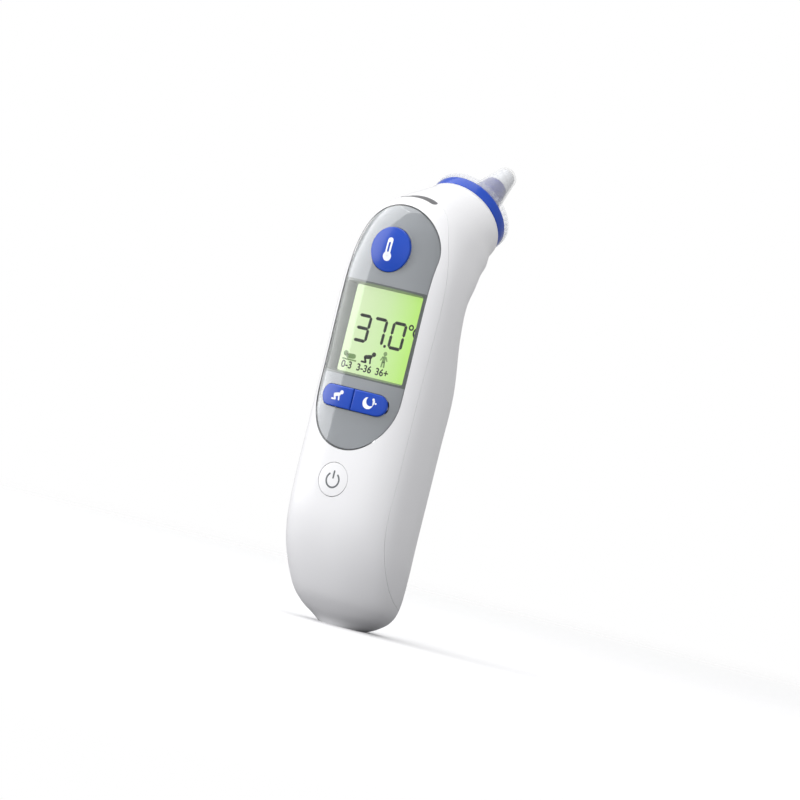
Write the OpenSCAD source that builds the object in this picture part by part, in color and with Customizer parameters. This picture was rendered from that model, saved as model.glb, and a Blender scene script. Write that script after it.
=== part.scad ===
// Digital ear thermometer: a hand-held body that stands on a small foot, with a tilted probe head.
// Millimetres. +Z runs up the handle, the face looks along -Y, and the origin is the foot's centre.
// Inside the modules y is measured back from the crown of the face; place() moves it to the origin.

/* [Body] */
// Wall thickness of the shells
wall = 1.8; // [1.4:0.1:2.2]
// Half width of the handle
handle_half = 19.8; // [19.4:0.1:20.4]
// Depth of the handle from face to back
handle_depth = 35.5; // [35:0.1:36.5]
// Distance from the crown of the face back to the foot's centre
foot_back = 25.8; // [25.4:0.1:26.2]
// Gap between neighbouring pieces
gap = 0.2; // [0.1:0.05:0.3]

/* [Face] */
// Half width of the clear lens
lens_half = 15.4; // [15.2:0.1:16]
// Height of the lens's lowest point
lens_low = 54; // [52:0.5:56]
// Height of the lens's highest point
lens_high = 132.2; // [130:0.2:133]
// Half width of the display window
window_half = 14.7; // [14.2:0.1:14.8]
// Height of the window's lower edge
window_low = 77.2; // [76:0.1:79]
// Height of the window's upper edge
window_high = 105.9; // [104:0.1:106.6]
// Depth of the display below the crown of the face
display_depth = 6.5; // [6.2:0.1:7]

/* [Buttons] */
// Radius of the start button
start_r = 7.1; // [6:0.1:7.6]
// Height of the start button's centre
start_z = 117.6; // [116:0.1:119]
// Half length of the two-button pill
pill_half = 12.2; // [11:0.1:12.6]
// Height of one pill button
pill_h = 6.8; // [6:0.1:7.2]
// Height of the pill's centre line
pill_z = 69.7; // [69:0.1:70.2]
// Radius of the power button
power_r = 5.3; // [4.6:0.1:5.8]
// Height of the power button's centre
power_z = 44.3; // [43:0.1:46]
// Travel of every button
travel = 0.6; // [0.3:0.1:0.7]

/* [Head] */
// Angle of the probe above the horizontal
probe_angle = 41.5; // [40:0.5:43]
// Distance of the head's lip behind the crown of the face
lip_y = 37.05; // [36.5:0.1:37.5]
// Height of the centre of the head's lip
lip_z = 133.9; // [133.5:0.1:134.4]
// Radius of the round shoulder below the lip
shoulder_r = 14.2; // [14:0.1:14.6]
// Radius of the blue ejector ring
ejector_r = 13.6; // [13:0.1:13.7]
// Radius of the lens filter's flange
flange_r = 13.9; // [13.5:0.1:14.2]
// Outer radius of the filter's tip
tip_r = 3.6; // [3.4:0.1:3.9]
// Distance of the filter's tip beyond the lip
tip_w = 26.8; // [25:0.2:28]
// Stroke of the ejector ring
eject_stroke = 2.4; // [2:0.1:2.5]

/* [Battery bay] */
// Diameter of an AA cell
cell_d = 14.2; // [13.5:0.1:14.5]
// Length of an AA cell without its nub
cell_l = 49.2; // [48:0.1:49.5]
// Half width of the battery door
door_half = 16.5; // [15.5:0.1:16.6]
// Height of the door's lower edge
door_low = 12.5; // [12:0.5:15]
// Height of the door's upper edge
door_high = 77; // [76:0.5:79]

/* [Hidden] */

depth = handle_depth;
side_n = 36;          // points round one section of the body
steps = 2;            // sections between two stations
head_tilt = 90 - probe_angle;
ax = [cos(probe_angle), sin(probe_angle)];     // probe direction as [y, z]
up = [-sin(probe_angle), cos(probe_angle)];    // towards the front and top of a head section
board_y = 9.4;        // front face of the circuit board
board_t = 1.2;
lens_t = wall - 0.3;   // thickness of the clear lens
cell_x = cell_d / 2 + 0.05;
cell_y = depth - wall - 1.8 - cell_d / 2;
cell_z = 15.1;
part_y = 7.4;         // where the side seam lies behind the crown of the face
part_low = 38;        // height at which the seam starts to curve to the back
screw_x = 14;
screw_z = 71;
boss_r = 2.4;         // bosses that the housing screws run in
key_y = board_y - 1.7;                         // tops of the key switches
stem_end = key_y - travel - 0.15;              // inner ends of the button stems
sleeve_low = -3.3 - eject_stroke;              // upper face of the ejector's inner lip, from the head's lip

// A circular head section at distance w along the probe axis, written as the stations below are
function head_station(w, r) =
    let (c = [lip_y, lip_z] + w * ax, f = c + r * up, b = c - r * up) [f[0], f[1], b[0], b[1], r, 2, 0.5, 2];

// Stations up the body: front [y, z], back [y, z], half width, superellipse power of the front half,
// where it is widest, power of the back half
stations = [
    [foot_back - 7.2, 0, foot_back + 7.2, 0, handle_half - 12.2, 2.1, 0.5, 2.2],
    [17.4, 1.8, depth - 0.4, 1.8, handle_half - 9, 2.1, 0.5, 2.5],
    [13.8, 5, depth, 5, handle_half - 4.9, 2.2, 0.5, 3],
    [9.3, 10, depth, 10, handle_half - 2.3, 2.25, 0.48, 3.2],
    [4, 20, depth, 20, handle_half - 0.6, 2.5, 0.44, 3],
    [1, 30, depth, 30, handle_half - 0.1, 2.7, 0.43, 2.9],
    [0.1, 42, depth, 42, handle_half, 2.8, 0.43, 2.9],
    [0, 62, depth, 61, handle_half, 2.8, 0.43, 2.9],
    [0, 80, depth - 0.1, 78, handle_half, 2.8, 0.43, 2.9],
    [0, 97, depth - 4.6, 94.5, handle_half - 0.1, 2.8, 0.44, 2.8],
    [0.1, 110, depth - 5.6, 104.5, handle_half - 0.4, 2.8, 0.45, 2.8],
    [0.5, 119.5, depth - 2.5, 111, handle_half - 1, 2.6, 0.46, 2.9],
    [1.5, 127.3, depth + 1.3, 115.2, handle_half - 2.1, 2.4, 0.47, 2.7],
    [4.6, 133.2, 39.8, 118, handle_half - 3.2, 2.2, 0.49, 2.7],
    [13, 137.6, 42.2, 120.6, handle_half - 4.6, 2.05, 0.5, 2.3],
    head_station(-3.4, shoulder_r),
    head_station(-2.1, shoulder_r - 0.1),
    head_station(-1.4, shoulder_r - 0.45)];
last = len(stations) - 1;

// Catmull-Rom blend of station i towards station i + 1
function blend(i, t) =
    let (a = stations[max(i - 1, 0)], b = stations[i], c = stations[min(i + 1, last)],
         d = stations[min(i + 2, last)])
    b + 0.5 * t * ((c - a) + t * ((2 * a - 5 * b + 4 * c - d) + t * (3 * b - a - 3 * c + d)));

function signed_pow(v, p) = sign(v) * pow(abs(v), p);

// One closed ring of the body, drawn in by inset
function ring(s, inset) =
    let (f = [s[0], s[1]], v = [s[2], s[3]] - f, len_v = norm(v), dir = v / len_v,
         c = f + v * s[6], front = len_v * s[6] - inset, back = len_v * (1 - s[6]) - inset,
         half = s[4] - inset)
    [for (k = [0 : side_n - 1])
        let (a = 360 * k / side_n, power = 2 / (sin(a) > 0 ? s[7] : s[5]),
             x = half * signed_pow(cos(a), power),
             m = (sin(a) > 0 ? back : front) * signed_pow(sin(a), power))
        [x, c[0] + m * dir[0], c[1] + m * dir[1]]];

// Solid inside the body's surface, drawn in by inset; open_head carries it out through the lip
module skin(inset = 0, open_head = false) {
    body = [for (i = [0 : last - 1]) for (t = [0 : steps - 1]) ring(blend(i, t / steps), inset)];
    low = [for (p = body[0]) [p[0], p[1], inset]];
    end = ring(stations[last], inset);
    reach = open_head ? 2 : 0;
    top = [for (p = end) p + [0, ax[0], ax[1]] * reach];
    rings = concat([for (r = body) if (r[0][2] > inset + 0.4 || inset <= 0) r], [end]);
    all = concat(inset > 0 ? [low] : [], rings, open_head ? [top] : []);
    count = len(all);
    polyhedron([for (r = all) each r],
        concat([[for (k = [0 : side_n - 1]) k]],
               [for (j = [0 : count - 2]) for (k = [0 : side_n - 1]) each
                   let (p = j * side_n + k, q = j * side_n + (k + 1) % side_n)
                   [[p, p + side_n, q], [q, p + side_n, q + side_n]]],
               [[for (k = [side_n - 1 : -1 : 0]) (count - 1) * side_n + k]]));
}

module place() translate([0, -foot_back, 0]) children();
// Local frame of the head: +Z along the probe from the centre of the lip
module head() place() translate([0, lip_y, lip_z]) rotate([-head_tilt, 0, 0]) children();
// A solid made whole, for free-form pieces that carry no bore
module whole() resize([0, 0, 0]) children();
// A rod along y from y0 to y1 at x, z
module rod(x, z, r, y0, y1) translate([x, y0, z]) rotate([-90, 0, 0]) cylinder(r = r, h = y1 - y0, $fn = 48);
// A box given by its low and high corners
module block(low, high) translate(low) cube(high - low);
// A tube along the local axis
module tube(r1, r0, w0, w1) difference() {
    translate([0, 0, w0]) cylinder(r = r1, h = w1 - w0, $fn = 64);
    translate([0, 0, w0 - 1]) cylinder(r = r0, h = w1 - w0 + 2, $fn = 64);
}
// Extrudes a face outline, drawn in x and z, from y0 to y1
module face_prism(y0, y1) translate([0, y1, 0]) rotate([90, 0, 0]) linear_extrude(y1 - y0) children();

// Outline of the lens grown by g: a full width with an elliptical top and a rounder foot
module lens_outline(g = 0) {
    half = lens_half + g;
    top_rise = 15.6;
    low_rise = 18.4;
    arc_n = 25;
    polygon(concat(
        [for (k = [0 : arc_n]) let (a = 180 * k / arc_n)
            [half * cos(a), lens_high - top_rise + (top_rise + g) * sin(a)]],
        [for (k = [0 : arc_n]) let (a = 180 + 180 * k / arc_n)
            [half * signed_pow(cos(a), 0.94), lens_low + low_rise + (low_rise + g) * sin(a)]]));
}
module window_outline(g = 0) translate([-window_half - g, window_low - g])
    square([2 * (window_half + g), window_high - window_low + 2 * g]);
module pill_outline(g = 0) hull() for (s = [-1, 1]) translate([s * (pill_half - pill_h / 2), pill_z])
    circle(r = pill_h / 2 + g, $fn = 32);
module button_outlines(g = 0) {
    translate([0, start_z]) circle(r = start_r + g, $fn = 64);
    pill_outline(g);
}
module power_outline(g = 0) translate([0, power_z]) circle(r = power_r + g, $fn = 64);

// Side view of everything in front of the seam, moved back by g
module seam_side(g = 0) polygon(concat(
    [[-8, 139.2], [12.2 + g, 139.2], [10 + g, 134.5], [8.4 + g, 129.5], [part_y + g, 124]],
    [for (k = [0 : 10]) let (a = 90 * k / 10)
        [depth - (depth - part_y - g) * cos(a), part_low + g - (part_low - 8.5) * sin(a)]],
    [[depth + 6, 8.5 + g], [depth + 6, -6], [-8, -6]]));
module seam_region(g = 0) rotate([90, 0, 90]) translate([0, 0, -30]) linear_extrude(60) seam_side(g);

// Slot across the brow of the head, on the seam, that holds the status light
module status_slot(g = 0) translate([0, 9.6, 135.7]) rotate([-13, 0, 0]) translate([0, 0, -4.2])
    linear_extrude(7) offset(r = g) hull() for (s = [-1, 1])
        translate([s * 5.35, 0]) circle(r = 1.3, $fn = 24);

module door_box(g = 0) block([-door_half - g, depth * 0.62, door_low - g],
    [door_half + g, depth + 5, door_high + g]);

module front_shell() color("whitesmoke") place() whole() {
    difference() {
        intersection() { skin(); seam_region(); }
        skin(wall, true);
        face_prism(-5, 12) lens_outline(0.12);
        face_prism(-5, 8) power_outline(gap);
        status_slot(0.1);
        head_bore();
    }
    intersection() {
        skin(wall - 0.1);
        for (s = [-1, 1]) difference() {
            rod(s * screw_x, screw_z, boss_r, 6, 16);
            rod(s * screw_x, screw_z, 0.95, 8.6, 17);
        }
    }
}

// Round bore behind the lip for the ejector ring's sleeve
module head_bore() translate([0, lip_y, lip_z]) rotate([-head_tilt, 0, 0]) translate([0, 0, -3])
    cylinder(r = 12, h = 5, $fn = 64);

module rear_shell() color("whitesmoke") place() whole() {
    difference() {
        skin();
        skin(wall, true);
        seam_region(0.08);
        door_box(gap);
        status_slot(0.1);
        head_bore();
    }
    intersection() {
        skin(wall - 0.1);
        for (s = [-1, 1]) difference() {
            rod(s * screw_x, screw_z, boss_r, 16.1, 26);
            rod(s * screw_x, screw_z, 1.3, 15, 27);
            rod(s * screw_x, screw_z, 2.1, 22.8, 27);
        }
    }
}

module display_lens() color([0.9, 0.93, 0.95, 0.35]) place() whole() difference() {
    intersection() { skin(); seam_region(); face_prism(-5, 12) lens_outline(); }
    skin(lens_t);
    face_prism(-5, 12) button_outlines(gap);
}

// Grey frame behind the lens; its window walls slope in to the display
module display_bezel() color("silver") place() whole() difference() {
    union() {
        difference() {
            intersection() { skin(wall + 0.05); face_prism(-5, 5.8) lens_outline(0.7); }
            skin(wall + 1);
        }
        intersection() {
            skin(wall + 0.05);
            block([-window_half - 1, 0, window_low - 1],
                [window_half + 1, display_depth - 0.05, window_high + 1]);
        }
    }
    hull() {
        face_prism(-1, 0) window_outline(1.6);
        face_prism(display_depth - 0.1, display_depth) window_outline(-2.3);
    }
    face_prism(-5, 14) button_outlines(gap);
}

module lcd_panel() color([0.72, 0.93, 0.48]) place()
    block([-14.2, display_depth, window_low - 0.6], [14.2, display_depth + 1.4, window_high + 0.6]);

module lcd_backlight() color("white") place()
    block([-13.8, display_depth + 1.45, window_low], [13.8, board_y - 0.05, window_high + 2]);

module status_light() color("dimgray") place() whole() intersection() {
    skin(0.35);
    status_slot();
}

// Domed round cap, a collar wider than its hole, and a stem that meets its key switch
module start_button() color("royalblue") place() {
    dome_r = 26;
    intersection() {
        rod(0, start_z, start_r, -2, 4.4);
        translate([0, dome_r - 0.9, start_z]) sphere(r = dome_r, $fn = 96);
    }
    rod(0, start_z, start_r + 1, 4.4, 5.4);
    rod(0, start_z, 1.6, 5.4, stem_end);
}

module pill_button(s) {
    whole() intersection() {
        skin(-0.45);
        face_prism(-3, 4.7) intersection() {
            pill_outline();
            translate([s > 0 ? 0.08 : -20.08, pill_z - 6]) square([20, 12]);
        }
    }
    block([s > 0 ? 1.2 : -11.4, 4.7, pill_z - 3], [s > 0 ? 11.4 : -1.2, 5.6, pill_z + 3]);
    rod(s * 5.8, pill_z, 1.4, 5.6, stem_end);
}
module age_button() color("royalblue") place() pill_button(-1);
module night_button() color("royalblue") place() pill_button(1);

module power_button() color("whitesmoke") place() {
    whole() intersection() { skin(); face_prism(-3, 2.6) power_outline(); }
    rod(0, power_z, power_r + 1, 2.6, 3.4);
    rod(0, power_z, 1.4, 3.4, stem_end);
}

key_places = [[0, start_z], [-5.8, pill_z], [5.8, pill_z], [0, power_z]];
module key_switches() color("dimgray") place() for (k = key_places) {
    block([k[0] - 2.5, board_y - 0.9, k[1] - 2.5], [k[0] + 2.5, board_y, k[1] + 2.5]);
    rod(k[0], k[1], 1.2, key_y, board_y - 0.9);
}

module main_board() color("seagreen") place() face_prism(board_y, board_y + board_t) {
    translate([-11.3, 38]) square([22.6, 72]);
    translate([-9.5, 110]) square([19, 13]);
}

module board_chips() color([0.12, 0.12, 0.13]) place() {
    back = board_y + board_t;
    block([-4, back, 96], [4, back + 1.1, 104]);
    block([3, back, 76], [9, back + 1.4, 81]);
    for (x = [-8, -4, 0]) block([x, back, 108.5], [x + 2.2, back + 0.9, 109.7]);
}

module buzzer() color([0.15, 0.15, 0.16]) place() difference() {
    rod(-3, 86, 6, board_y + board_t, board_y + board_t + 3.2);
    rod(-3, 86, 0.9, board_y + board_t + 2.4, board_y + board_t + 4);
}

module ejector_ring() color("royalblue") head() {
    rotate_extrude($fn = 96) polygon([[8.2, 1.4], [9.5, 1.4], [9.5, sleeve_low], [7.5, sleeve_low],
        [7.5, sleeve_low - 0.8], [10.2, sleeve_low - 0.8], [10.2, 0.6], [11.5, 0.6], [11.5, -1.2],
        [ejector_r - 0.3, -1.2], [ejector_r, -0.9], [ejector_r, 2.2], [ejector_r - 0.4, 2.6], [8.2, 2.6]]);
}

// Compression spring between the ejector's inner lip and the probe base's collar
module ejector_spring() color("lightgray") head() {
    wire = 0.32;
    turns = 2;
    coil_r = 8.4;
    low = sleeve_low + wire + 0.02;
    rise = 3.3;
    n = 24 * turns;
    path = [for (k = [0 : n]) let (a = 360 * turns * k / n)
        [coil_r * cos(a), coil_r * sin(a), low + rise * k / n]];
    sides = 6;
    polyhedron([for (k = [0 : n]) for (j = [0 : sides - 1])
            let (a = 360 * turns * k / n, b = 360 * j / sides, r = coil_r + wire * cos(b))
            [r * cos(a), r * sin(a), path[k][2] + wire * sin(b)]],
        concat([[for (j = [0 : sides - 1]) j]],
            [for (k = [0 : n - 1]) for (j = [0 : sides - 1]) each
                let (p = k * sides + j, q = k * sides + (j + 1) % sides)
                [[p, p + sides, q], [q, p + sides, q + sides]]],
            [[for (j = [sides - 1 : -1 : 0]) n * sides + j]]));
}

// Bulkhead, guide tube and collar that carry the probe
module probe_base() color("gainsboro") head() rotate_extrude($fn = 96)
    polygon([[4.9, -10.4], [9, -10.4], [9, -9.4], [7.2, -9.4], [7.2, -1.6], [9.2, -1.6], [9.2, -0.6],
        [7.6, -0.6], [7.6, 0.2], [4.9, 0.2]]);

module probe_collar() color([0.2, 0.24, 0.5]) head() rotate_extrude($fn = 96)
    polygon([[6.35, 0.25], [7.8, 0.25], [7.8, 2.4], [6.25, 3.4], [5.15, 11], [3.95, 18.2], [3.5, 18.2],
        [4.7, 11], [5.85, 3.2], [6.35, 2.2]]);

module probe_nozzle() color("whitesmoke") head() rotate_extrude($fn = 96)
    polygon([[3.6, 0.3], [6.3, 0.3], [6.3, 2.1], [5.75, 3.2], [4.6, 11], [3.4, 18.2], [3.4, 18.35],
        [3.8, 18.35], [2.85, 24.6], [2.5, 25.3], [2.15, 25.3], [2.15, 24], [2.7, 16], [3.6, 8]]);

module sensor_can() color("silver") head() {
    cylinder(r = 3.4, h = 0.8, $fn = 48);
    translate([0, 0, 0.8]) cylinder(r = 2.6, h = 4, $fn = 48);
}

module sensor_tube() color("gold") head() rotate_extrude($fn = 64)
    polygon([[1.6, 5], [1.95, 5], [1.95, 25.2], [1.6, 25.2]]);

module sensor_flex() color("orange") {
    head() translate([-3, -1.5, -12.4]) cube([6, 3, 12.2]);
    place() hull() {
        block([-3, 26.6, 123.9], [3, 28.6, 124.2]);
        block([-3, board_y + board_t + 0.05, 117.4], [3, board_y + board_t + 2, 117.7]);
    }
}

// Clear disposable cap: cone over the nozzle, flange with a windowed rim
module lens_filter() color([0.92, 0.95, 0.97, 0.5]) head() {
    low = 2.75;
    plate = 0.4;
    rim_h = 1.6;
    rotate_extrude($fn = 96) polygon([[8, low], [flange_r, low], [flange_r, low + plate], [8.9, low + plate],
        [7.1, low + 1.9], [tip_r, tip_w - 3.2], [tip_r - 0.45, tip_w - 1.2], [tip_r - 1.4, tip_w - 0.2],
        [0, tip_w - 0.1], [0, tip_w - 0.3], [tip_r - 1.5, tip_w - 0.5], [tip_r - 0.8, tip_w - 1.4],
        [tip_r - 0.4, tip_w - 3.3], [6.65, low + 1.8]]);
    tube(flange_r, 12.9, low + rim_h - plate, low + rim_h);
    for (k = [0 : 35]) rotate([0, 0, 10 * k]) translate([12.95, -0.45, low + plate - 0.05])
        cube([0.8, 0.9, rim_h - 2 * plate + 0.1]);
}

module battery_tray() color("dimgray") place() whole() intersection() {
    skin(wall + 0.15);
    difference() {
        block([-15.6, 16, 11.5], [15.6, 26, 68]);
        block([-14.7, 16.9, 13.2], [14.7, 30, 66.4]);
    }
}

module cell(s) translate([s * cell_x, cell_y, cell_z]) {
    cylinder(d = cell_d, h = cell_l, $fn = 64);
    translate([0, 0, cell_l]) cylinder(r = 2.7, h = 1.2, $fn = 32);
}
module battery_left() color("slategray") place() cell(-1);
module battery_right() color("slategray") place() cell(1);

module battery_springs() color("lightgray") place() for (s = [-1, 1])
    translate([s * cell_x, cell_y, cell_z - 1.2]) cylinder(r1 = 4.6, r2 = 3, h = 1.15, $fn = 32);

module battery_plates() color("lightgray") place() for (s = [-1, 1])
    translate([s * cell_x - 4, cell_y - 4, cell_z + cell_l + 1.25]) cube([8, 8, 0.4]);

module battery_door() color("whitesmoke") place() whole() {
    difference() {
        intersection() { skin(); door_box(); }
        skin(wall, true);
        for (k = [0 : 4]) translate([0, depth, 64 + 2 * k]) rotate([0, 90, 0])
            translate([0, 0, -5]) cylinder(r = 0.35, h = 10, $fn = 16);
    }
}

module housing_screws() color("gray") place() for (s = [-1, 1]) {
    rod(s * screw_x, screw_z, 1.95, 22.8, 24.3);
    rod(s * screw_x, screw_z, 0.95, 9, 22.8);
}

front_shell();
rear_shell();
display_lens();
display_bezel();
lcd_panel();
lcd_backlight();
status_light();
start_button();
age_button();
night_button();
power_button();
key_switches();
main_board();
board_chips();
buzzer();
ejector_ring();
ejector_spring();
probe_base();
probe_collar();
probe_nozzle();
sensor_tube();
sensor_can();
sensor_flex();
lens_filter();
battery_tray();
battery_left();
battery_right();
battery_springs();
battery_plates();
battery_door();
housing_screws();
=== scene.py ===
import math

import bmesh
import bpy
from mathutils import Matrix, Vector


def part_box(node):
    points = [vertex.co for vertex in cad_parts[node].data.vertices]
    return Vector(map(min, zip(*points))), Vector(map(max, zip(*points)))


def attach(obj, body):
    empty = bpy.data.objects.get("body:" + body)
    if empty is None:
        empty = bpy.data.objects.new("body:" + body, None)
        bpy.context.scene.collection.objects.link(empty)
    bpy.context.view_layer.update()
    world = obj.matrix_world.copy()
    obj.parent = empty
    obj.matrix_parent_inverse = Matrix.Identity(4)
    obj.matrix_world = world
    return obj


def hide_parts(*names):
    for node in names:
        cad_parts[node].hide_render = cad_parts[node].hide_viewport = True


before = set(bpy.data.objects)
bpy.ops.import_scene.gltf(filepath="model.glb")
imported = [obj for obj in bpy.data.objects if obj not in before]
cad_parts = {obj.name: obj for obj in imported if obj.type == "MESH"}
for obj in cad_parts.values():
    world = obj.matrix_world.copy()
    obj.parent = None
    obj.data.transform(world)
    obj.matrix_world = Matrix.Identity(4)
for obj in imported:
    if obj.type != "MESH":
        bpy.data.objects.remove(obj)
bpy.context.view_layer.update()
mm = 0.001


# shape of the body, in millimetres;
# y is measured back from the crown of the face; the origin is the centre of the foot
bodyShape = {
    "footBack": 25.8,
    "depth": 35.5,
    "half": 19.8,
    "wall": 1.8,
    "lipY": 37.05,
    "lipZ": 133.9,
    "probeAngle": 41.5,
    "shoulder": 14.2,
    "aroundPoints": 96,
    "ringsPerStation": 6,
}
probeAngle = math.radians(bodyShape["probeAngle"])
probeY, probeZ = math.cos(probeAngle), math.sin(probeAngle)


def headStation(w, r):
    # round section of the head at distance w beyond the lip
    y = bodyShape["lipY"] + w * probeY
    z = bodyShape["lipZ"] + w * probeZ
    return [y - r * probeZ, z + r * probeY, y + r * probeZ, z - r * probeY, r, 2, 0.5, 2]


def bodyStations():
    # each: front y z, back y z, half width, power of the front half, where it is widest, back power
    d, h, foot = bodyShape["depth"], bodyShape["half"], bodyShape["footBack"]
    return [
        [foot - 7.2, 0, foot + 7.2, 0, h - 12.2, 2.1, 0.5, 2.2],
        [17.4, 1.8, d - 0.4, 1.8, h - 9, 2.1, 0.5, 2.5],
        [13.8, 5, d, 5, h - 4.9, 2.2, 0.5, 3],
        [9.3, 10, d, 10, h - 2.3, 2.25, 0.48, 3.2],
        [4, 20, d, 20, h - 0.6, 2.5, 0.44, 3],
        [1, 30, d, 30, h - 0.1, 2.7, 0.43, 2.9],
        [0.1, 42, d, 42, h, 2.8, 0.43, 2.9],
        [0, 62, d, 61, h, 2.8, 0.43, 2.9],
        [0, 80, d - 0.1, 78, h, 2.8, 0.43, 2.9],
        [0, 97, d - 4.6, 94.5, h - 0.1, 2.8, 0.44, 2.8],
        [0.1, 110, d - 5.6, 104.5, h - 0.4, 2.8, 0.45, 2.8],
        [0.5, 119.5, d - 2.5, 111, h - 1, 2.6, 0.46, 2.9],
        [1.5, 127.3, d + 1.3, 115.2, h - 2.1, 2.4, 0.47, 2.7],
        [4.6, 133.2, 39.8, 118, h - 3.2, 2.2, 0.49, 2.7],
        [13, 137.6, 42.2, 120.6, h - 4.6, 2.05, 0.5, 2.3],
        headStation(-3.4, bodyShape["shoulder"]),
        headStation(-2.2, bodyShape["shoulder"] - 0.15),
        headStation(-1.4, bodyShape["shoulder"] - 0.7),
    ]


def blendStations(t):
    # smooth section at t, counted in stations
    rows = bodyStations()
    last = len(rows) - 1
    i = min(int(t), last - 1)
    f = t - i
    a, b, c, e = rows[max(i - 1, 0)], rows[i], rows[i + 1], rows[min(i + 2, last)]
    return [q + 0.5 * f * ((r - p) + f * ((2 * p - 5 * q + 4 * r - s) + f * (3 * q - p - 3 * r + s)))
            for p, q, r, s in zip(a, b, c, e)]


def signedPower(value, power):
    return math.copysign(abs(value) ** power, value)


def pointOnBody(section, angle, inset):
    # point of a section at an angle round it, drawn in by inset
    fy, fz, by, bz, half, frontPower, share, backPower = section
    length = math.hypot(by - fy, bz - fz)
    dy, dz = (by - fy) / length, (bz - fz) / length
    behind = math.sin(angle) > 0
    power = 2 / (backPower if behind else frontPower)
    reach = (length * (1 - share) if behind else length * share) - inset
    x = (half - inset) * signedPower(math.cos(angle), power)
    m = reach * signedPower(math.sin(angle), power)
    cy, cz = fy + dy * length * share, fz + dz * length * share
    return Vector((x, cy + m * dy, cz + m * dz))


def toFrame(point):
    return Vector((point.x, point.y - bodyShape["footBack"], point.z)) * mm


def outlineFace(bm, points):
    # one flat face inside a closed run of points
    verts = [bm.verts.new(point) for point in points]
    edges = [bm.edges.new((verts[i - 1], verts[i])) for i in range(len(verts))]
    return bmesh.ops.edgeloop_fill(bm, edges=edges)["faces"]


def pushFaces(bm, faces, step):
    # carries flat faces along step, leaving a closed solid; gives the moved corners
    moved = bmesh.ops.extrude_face_region(bm, geom=faces, use_keep_orig=True)["geom"]
    verts = [g for g in moved if isinstance(g, bmesh.types.BMVert)]
    bmesh.ops.translate(bm, verts=verts, vec=step)
    return verts


def linkMesh(name, bm):
    mesh = bpy.data.meshes.new(name)
    bm.to_mesh(mesh)
    bm.free()
    piece = bpy.data.objects.new(name, mesh)
    bpy.context.scene.collection.objects.link(piece)
    return piece


def skinSolid(name, inset, reach):
    # closed loft of the whole body: a tall tube of rings, wrapped onto the sections
    around = bodyShape["aroundPoints"]
    perStation = bodyShape["ringsPerStation"]
    spans = len(bodyStations()) - 1
    bm = bmesh.new()
    bmesh.ops.create_circle(bm, segments=around, radius=1)
    edges = bm.edges[:]
    for _ in range(spans * perStation + (1 if reach else 0)):
        new = bmesh.ops.extrude_edge_only(bm, edges=edges)["geom"]
        edges = [g for g in new if isinstance(g, bmesh.types.BMEdge)]
        verts = [g for g in new if isinstance(g, bmesh.types.BMVert)]
        bmesh.ops.translate(bm, verts=verts, vec=(0, 0, 1))
    top = spans * perStation
    for vert in bm.verts:
        level = round(vert.co.z)
        angle = math.atan2(vert.co.y, vert.co.x)
        point = pointOnBody(blendStations(min(level, top) / perStation), angle, inset)
        if level > top:
            point += Vector((0, probeY, probeZ)) * reach
        point.z = max(point.z, inset)
        vert.co = toFrame(point)
    bmesh.ops.remove_doubles(bm, verts=bm.verts[:], dist=1e-6)
    bmesh.ops.holes_fill(bm, edges=[e for e in bm.edges if e.is_boundary], sides=0)
    bmesh.ops.recalc_face_normals(bm, faces=bm.faces[:])
    return linkMesh(name, bm)


def prismX(name, outline, halfWidth):
    # side-view outline (y, z) carried across the whole width
    bm = bmesh.new()
    face = outlineFace(bm, [toFrame(Vector((-halfWidth, y, z))) for y, z in outline])
    pushFaces(bm, face, (2 * halfWidth * mm, 0, 0))
    bmesh.ops.recalc_face_normals(bm, faces=bm.faces[:])
    return linkMesh(name, bm)


def prismY(name, outline, y0, y1):
    # face outline (x, z) carried from depth y0 to y1
    bm = bmesh.new()
    face = outlineFace(bm, [toFrame(Vector((x, y0, z))) for x, z in outline])
    pushFaces(bm, face, (0, (y1 - y0) * mm, 0))
    bmesh.ops.recalc_face_normals(bm, faces=bm.faces[:])
    return linkMesh(name, bm)


def applyModifiers(piece):
    graph = bpy.context.evaluated_depsgraph_get()
    mesh = bpy.data.meshes.new_from_object(piece.evaluated_get(graph))
    piece.modifiers.clear()
    old = piece.data
    piece.data = mesh
    bpy.data.meshes.remove(old)
    return piece


def combine(piece, tool, operation):
    step = piece.modifiers.new("cut", "BOOLEAN")
    step.operation = operation
    step.solver = "EXACT"
    step.object = tool
    return applyModifiers(piece)


def copyOf(piece, name):
    other = bpy.data.objects.new(name, piece.data.copy())
    bpy.context.scene.collection.objects.link(other)
    return other


def discard(*pieces):
    for piece in pieces:
        bpy.data.objects.remove(piece)


def shadeByAngle(piece, degrees=32):
    bm = bmesh.new()
    bm.from_mesh(piece.data)
    bmesh.ops.remove_doubles(bm, verts=bm.verts[:], dist=2e-6)
    bmesh.ops.dissolve_degenerate(bm, edges=bm.edges[:], dist=1e-6)
    for face in bm.faces:
        face.smooth = True
    limit = math.radians(degrees)
    for edge in bm.edges:
        edge.smooth = len(edge.link_faces) == 2 and edge.calc_face_angle(0) < limit
    bm.to_mesh(piece.data)
    bm.free()


def finishPiece(piece, body, material, nodes=(), degrees=32):
    shadeByAngle(piece, degrees)
    piece.data.materials.clear()
    piece.data.materials.append(material)
    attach(piece, body)
    if nodes:
        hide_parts(*nodes)
    return piece


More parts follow.
